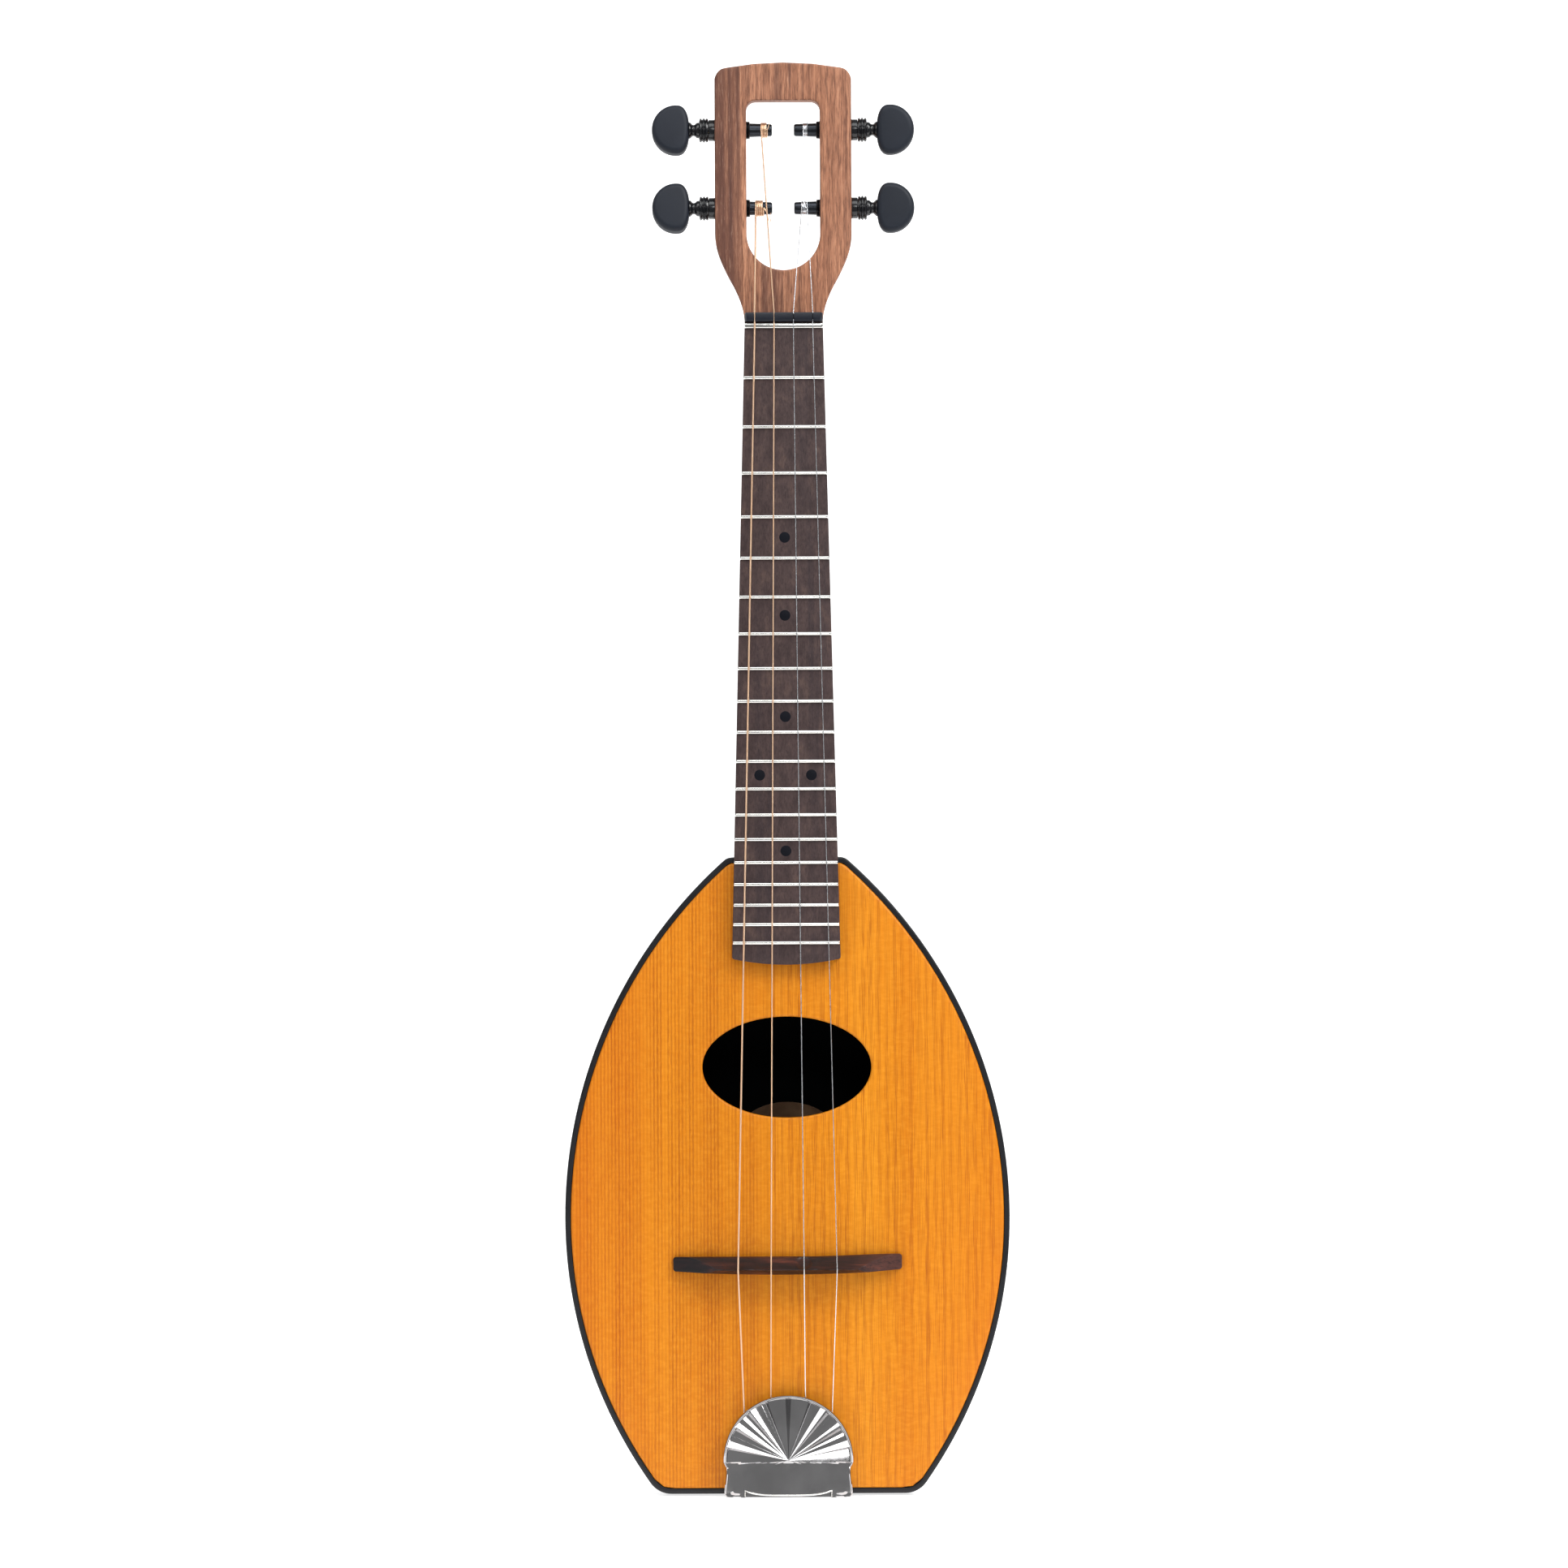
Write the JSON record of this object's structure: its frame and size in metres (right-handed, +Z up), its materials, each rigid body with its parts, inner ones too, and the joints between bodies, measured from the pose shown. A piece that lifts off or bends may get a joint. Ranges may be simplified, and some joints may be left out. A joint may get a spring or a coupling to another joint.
{
  "type": "four string short scale lute",
  "caption": "Plucked lute with a bowl-backed oval body, slotted headstock, geared pegs, fretted neck, floating bridge and hinged fan tailpiece.",
  "frame": {"origin": "on the flat base that the instrument stands on, at the middle of its width, 24 mm behind the face of the soundboard", "axes": "+Z up the neck towards the headstock, -Y out of the front, +X to the right as seen from the front"},
  "size_m": [0.2076, 0.0813, 0.6693],
  "materials": {
    "shell": "satin black moulded",
    "top": "amber gloss lacquer over straight-grained softwood",
    "inner_wood": "bare",
    "label": "bare paper",
    "neck": "satin, dark figured",
    "fretboard": "oiled dark",
    "dot": "smooth",
    "fret": "polished",
    "nut": "satin",
    "bridge": "polished dark red",
    "tailpiece": "mirror plated",
    "fastener": "plain",
    "wound_string": "bronze wound",
    "plain_string": "plain steel",
    "peg": "satin black",
    "gear": "machined",
    "post": "black anodised"
  },
  "bodies": {
    "root": {"body_shell": "shell", "soundboard": "top", "soundboard_braces": "inner_wood", "sound_label": "label", "neck_block": "inner_wood", "tail_block": "inner_wood", "neck": "neck", "neck_bolts": "fastener", "fretboard": "fretboard", "position_dots": "dot", "zero_fret": "fret", "frets": "fret", "nut": "nut", "bridge": "bridge", "tailpiece_base": "tailpiece", "tailpiece_screws": "fastener", "tailpiece_pin": "fastener", "string_1": "wound_string", "string_2": "wound_string", "string_3": "plain_string", "string_4": "plain_string", "peg_case_1": "peg", "peg_case_2": "peg", "peg_case_3": "peg", "peg_case_4": "peg", "peg_collar_1": "peg", "peg_collar_2": "peg", "peg_collar_3": "peg", "peg_collar_4": "peg"},
    "tailpiece_lid": {"tailpiece_cover": "tailpiece"},
    "button_1": {"peg_button_1": "peg", "peg_sun_1": "gear"},
    "post_1": {"peg_post_1": "post", "winding_1": "wound_string"},
    "planet_1a": {"planet_1a": "gear"},
    "planet_1b": {"planet_1b": "gear"},
    "planet_1c": {"planet_1c": "gear"},
    "button_2": {"peg_button_2": "peg", "peg_sun_2": "gear"},
    "post_2": {"peg_post_2": "post", "winding_2": "wound_string"},
    "planet_2a": {"planet_2a": "gear"},
    "planet_2b": {"planet_2b": "gear"},
    "planet_2c": {"planet_2c": "gear"},
    "button_3": {"peg_button_3": "peg", "peg_sun_3": "gear"},
    "post_3": {"peg_post_3": "post", "winding_3": "plain_string"},
    "planet_3a": {"planet_3a": "gear"},
    "planet_3b": {"planet_3b": "gear"},
    "planet_3c": {"planet_3c": "gear"},
    "button_4": {"peg_button_4": "peg", "peg_sun_4": "gear"},
    "post_4": {"peg_post_4": "post", "winding_4": "plain_string"},
    "planet_4a": {"planet_4a": "gear"},
    "planet_4b": {"planet_4b": "gear"},
    "planet_4c": {"planet_4c": "gear"}
  },
  "joints": [
    {"name": "tailpiece_lid_hinge", "type": "hinge", "parent": "root", "child": "tailpiece_lid", "pos_m": [0, -0.0276, 0.003], "axis": [1, 0, 0], "range_deg": [0, 80]},
    {"name": "button_1_turn", "type": "hinge", "parent": "root", "child": "button_1", "pos_m": [-0.038, -0.017, 0.6004], "axis": [1, 0, 0], "continuous": true},
    {"name": "post_1_turn", "type": "hinge", "parent": "root", "child": "post_1", "pos_m": [-0.0152, -0.017, 0.6004], "axis": [1, 0, 0], "continuous": true},
    {"name": "planet_1a_turn", "type": "hinge", "parent": "post_1", "child": "planet_1a", "pos_m": [-0.024, -0.017, 0.60268], "axis": [1, 0, 0], "continuous": true},
    {"name": "planet_1b_turn", "type": "hinge", "parent": "post_1", "child": "planet_1b", "pos_m": [-0.024, -0.01503, 0.59926], "axis": [1, 0, 0], "continuous": true},
    {"name": "planet_1c_turn", "type": "hinge", "parent": "post_1", "child": "planet_1c", "pos_m": [-0.024, -0.01897, 0.59926], "axis": [1, 0, 0], "continuous": true},
    {"name": "button_2_turn", "type": "hinge", "parent": "root", "child": "button_2", "pos_m": [-0.038, -0.017, 0.6369], "axis": [1, 0, 0], "continuous": true},
    {"name": "post_2_turn", "type": "hinge", "parent": "root", "child": "post_2", "pos_m": [-0.0152, -0.017, 0.6369], "axis": [1, 0, 0], "continuous": true},
    {"name": "planet_2a_turn", "type": "hinge", "parent": "post_2", "child": "planet_2a", "pos_m": [-0.024, -0.017, 0.63918], "axis": [1, 0, 0], "continuous": true},
    {"name": "planet_2b_turn", "type": "hinge", "parent": "post_2", "child": "planet_2b", "pos_m": [-0.024, -0.01503, 0.63576], "axis": [1, 0, 0], "continuous": true},
    {"name": "planet_2c_turn", "type": "hinge", "parent": "post_2", "child": "planet_2c", "pos_m": [-0.024, -0.01897, 0.63576], "axis": [1, 0, 0], "continuous": true},
    {"name": "button_3_turn", "type": "hinge", "parent": "root", "child": "button_3", "pos_m": [0.038, -0.017, 0.6004], "axis": [1, 0, 0], "continuous": true},
    {"name": "post_3_turn", "type": "hinge", "parent": "root", "child": "post_3", "pos_m": [0.0152, -0.017, 0.6004], "axis": [1, 0, 0], "continuous": true},
    {"name": "planet_3a_turn", "type": "hinge", "parent": "post_3", "child": "planet_3a", "pos_m": [0.024, -0.017, 0.59812], "axis": [1, 0, 0], "continuous": true},
    {"name": "planet_3b_turn", "type": "hinge", "parent": "post_3", "child": "planet_3b", "pos_m": [0.024, -0.01503, 0.60154], "axis": [1, 0, 0], "continuous": true},
    {"name": "planet_3c_turn", "type": "hinge", "parent": "post_3", "child": "planet_3c", "pos_m": [0.024, -0.01897, 0.60154], "axis": [1, 0, 0], "continuous": true},
    {"name": "button_4_turn", "type": "hinge", "parent": "root", "child": "button_4", "pos_m": [0.038, -0.017, 0.6369], "axis": [1, 0, 0], "continuous": true},
    {"name": "post_4_turn", "type": "hinge", "parent": "root", "child": "post_4", "pos_m": [0.0152, -0.017, 0.6369], "axis": [1, 0, 0], "continuous": true},
    {"name": "planet_4a_turn", "type": "hinge", "parent": "post_4", "child": "planet_4a", "pos_m": [0.024, -0.017, 0.63462], "axis": [1, 0, 0], "continuous": true},
    {"name": "planet_4b_turn", "type": "hinge", "parent": "post_4", "child": "planet_4b", "pos_m": [0.024, -0.01503, 0.63804], "axis": [1, 0, 0], "continuous": true},
    {"name": "planet_4c_turn", "type": "hinge", "parent": "post_4", "child": "planet_4c", "pos_m": [0.024, -0.01897, 0.63804], "axis": [1, 0, 0], "continuous": true}
  ],
  "couplings": [
    {"joint": "post_1_turn", "follows": "button_1_turn", "ratio": 0.25},
    {"joint": "planet_1a_turn", "follows": "button_1_turn", "ratio": -0.75},
    {"joint": "planet_1b_turn", "follows": "button_1_turn", "ratio": -0.75},
    {"joint": "planet_1c_turn", "follows": "button_1_turn", "ratio": -0.75},
    {"joint": "post_2_turn", "follows": "button_2_turn", "ratio": 0.25},
    {"joint": "planet_2a_turn", "follows": "button_2_turn", "ratio": -0.75},
    {"joint": "planet_2b_turn", "follows": "button_2_turn", "ratio": -0.75},
    {"joint": "planet_2c_turn", "follows": "button_2_turn", "ratio": -0.75},
    {"joint": "post_3_turn", "follows": "button_3_turn", "ratio": 0.25},
    {"joint": "planet_3a_turn", "follows": "button_3_turn", "ratio": -0.75},
    {"joint": "planet_3b_turn", "follows": "button_3_turn", "ratio": -0.75},
    {"joint": "planet_3c_turn", "follows": "button_3_turn", "ratio": -0.75},
    {"joint": "post_4_turn", "follows": "button_4_turn", "ratio": 0.25},
    {"joint": "planet_4a_turn", "follows": "button_4_turn", "ratio": -0.75},
    {"joint": "planet_4b_turn", "follows": "button_4_turn", "ratio": -0.75},
    {"joint": "planet_4c_turn", "follows": "button_4_turn", "ratio": -0.75}
  ]
}
